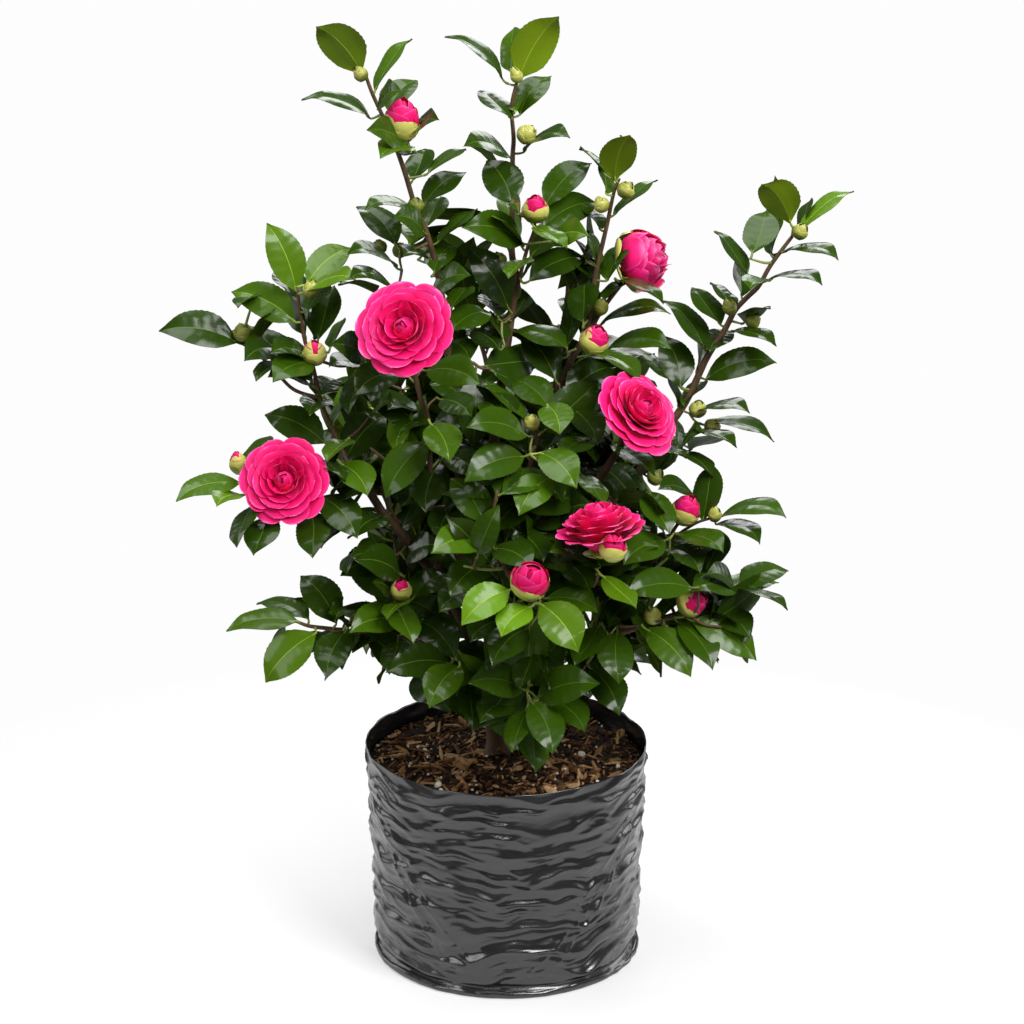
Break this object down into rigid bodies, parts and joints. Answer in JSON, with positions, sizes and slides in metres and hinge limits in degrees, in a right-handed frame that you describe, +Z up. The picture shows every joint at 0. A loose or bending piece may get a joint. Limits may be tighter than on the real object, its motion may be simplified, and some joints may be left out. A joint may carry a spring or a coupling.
{
  "type": "potted camellia shrub",
  "caption": "Evergreen camellia shrub with glossy leaves and double pink blooms, standing in a round black film grow bag of bark mix.",
  "frame": {"origin": "centre of the grow bag's flat underside", "axes": "+Z up along the bag's axis, the plant's best side faces -Y, +X to that side's right"},
  "size_m": [0.6629, 0.4574, 0.9435],
  "materials": {
    "film": "satin",
    "potting_mix": "matte",
    "bark": "matte",
    "leaf": "satin",
    "young_leaf": "satin",
    "petal": "satin",
    "bud": "satin"
  },
  "bodies": {
    "root": {"grow_bag": "film", "potting_mix": "potting_mix", "trunk": "bark", "bough_leader": "bark", "bough_left": "bark", "bough_upper_left": "bark", "bough_right": "bark", "bough_right_centre": "bark", "bough_bloom_right": "bark", "bough_low_left": "bark", "bough_low_right": "bark", "bough_front": "bark", "bough_front_low": "bark", "bough_side_left": "bark", "bough_side_right": "bark", "bough_back_left": "bark", "bough_back_right": "bark", "bough_back": "bark", "bough_back_low_left": "bark", "bough_back_low_right": "bark", "foliage_top_left": "leaf", "foliage_top_centre": "leaf", "foliage_right_centre": "leaf", "foliage_right_top": "leaf", "foliage_right_lower": "leaf", "foliage_left_shoot": "leaf", "foliage_far_left": "leaf", "foliage_bloom_left": "leaf", "foliage_low_left": "leaf", "foliage_low_right": "leaf", "foliage_right_mid": "leaf", "foliage_bloom_right": "leaf", "foliage_front_right": "leaf", "foliage_front_centre": "leaf", "foliage_front_left": "leaf", "foliage_upper_left": "leaf", "foliage_upper_centre": "leaf", "foliage_skirt_front": "leaf", "foliage_skirt_left": "leaf", "foliage_skirt_right": "leaf", "foliage_left_inner": "leaf", "foliage_right_inner": "leaf", "foliage_back_low_left": "leaf", "foliage_back_low_right": "leaf", "foliage_back_left": "leaf", "foliage_back_right": "leaf", "foliage_back_centre": "leaf", "foliage_back_upper_left": "leaf", "foliage_back_upper_right": "leaf"}
  },
  "joints": []
}
